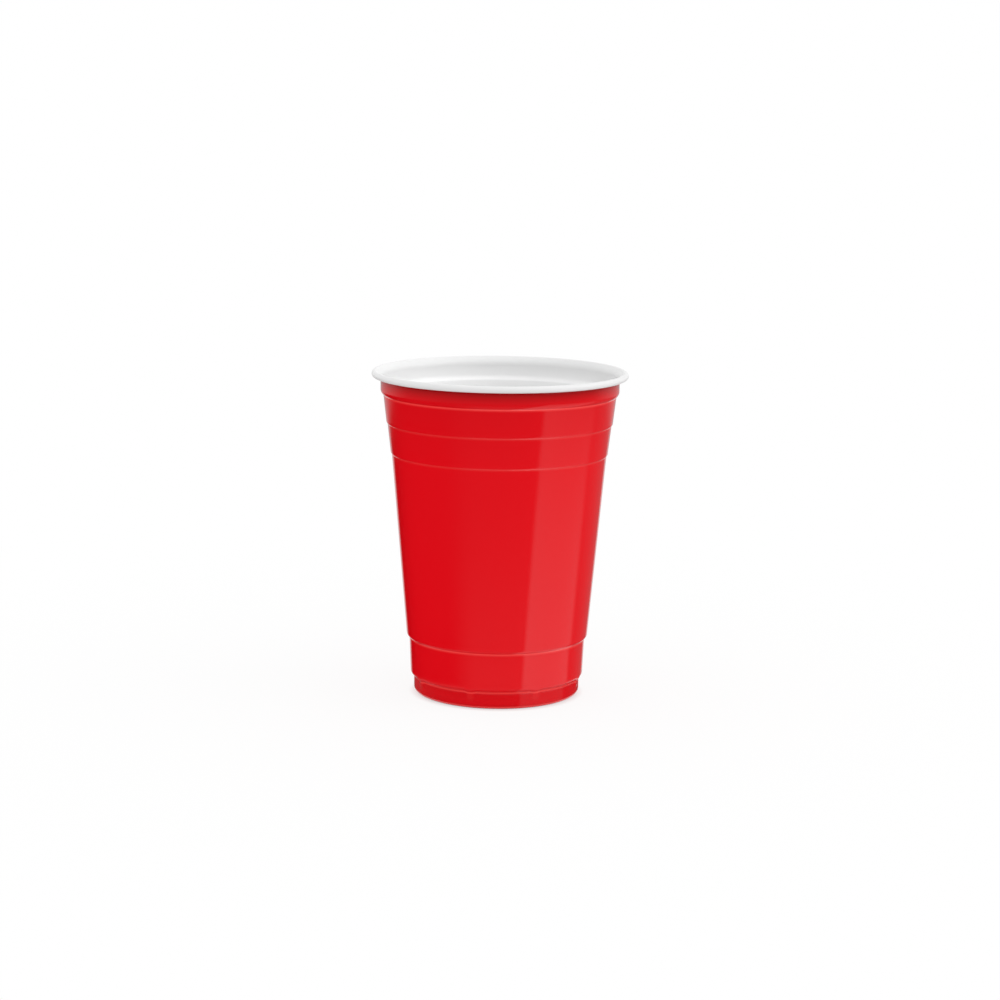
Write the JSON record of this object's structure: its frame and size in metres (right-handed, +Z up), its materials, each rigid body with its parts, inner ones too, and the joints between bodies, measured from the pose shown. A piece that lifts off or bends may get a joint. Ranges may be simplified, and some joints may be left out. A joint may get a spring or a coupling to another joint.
{
  "type": "plastic cup",
  "caption": "Tapered party cup of thin plastic, with a rolled lip, stepped grip bands and a ribbed stacking foot, for cold drinks.",
  "frame": {"origin": "centre of the ring that the cup stands on, at ground level", "axes": "+Z up along the cup's axis; +X and +Y each lie halfway between two ribs of the foot"},
  "size_m": [0.094, 0.094, 0.12],
  "materials": {
    "cup_plastic": "glossy red outside, white inside and on the lip"
  },
  "bodies": {
    "root": {"cup": "cup_plastic"}
  },
  "joints": []
}
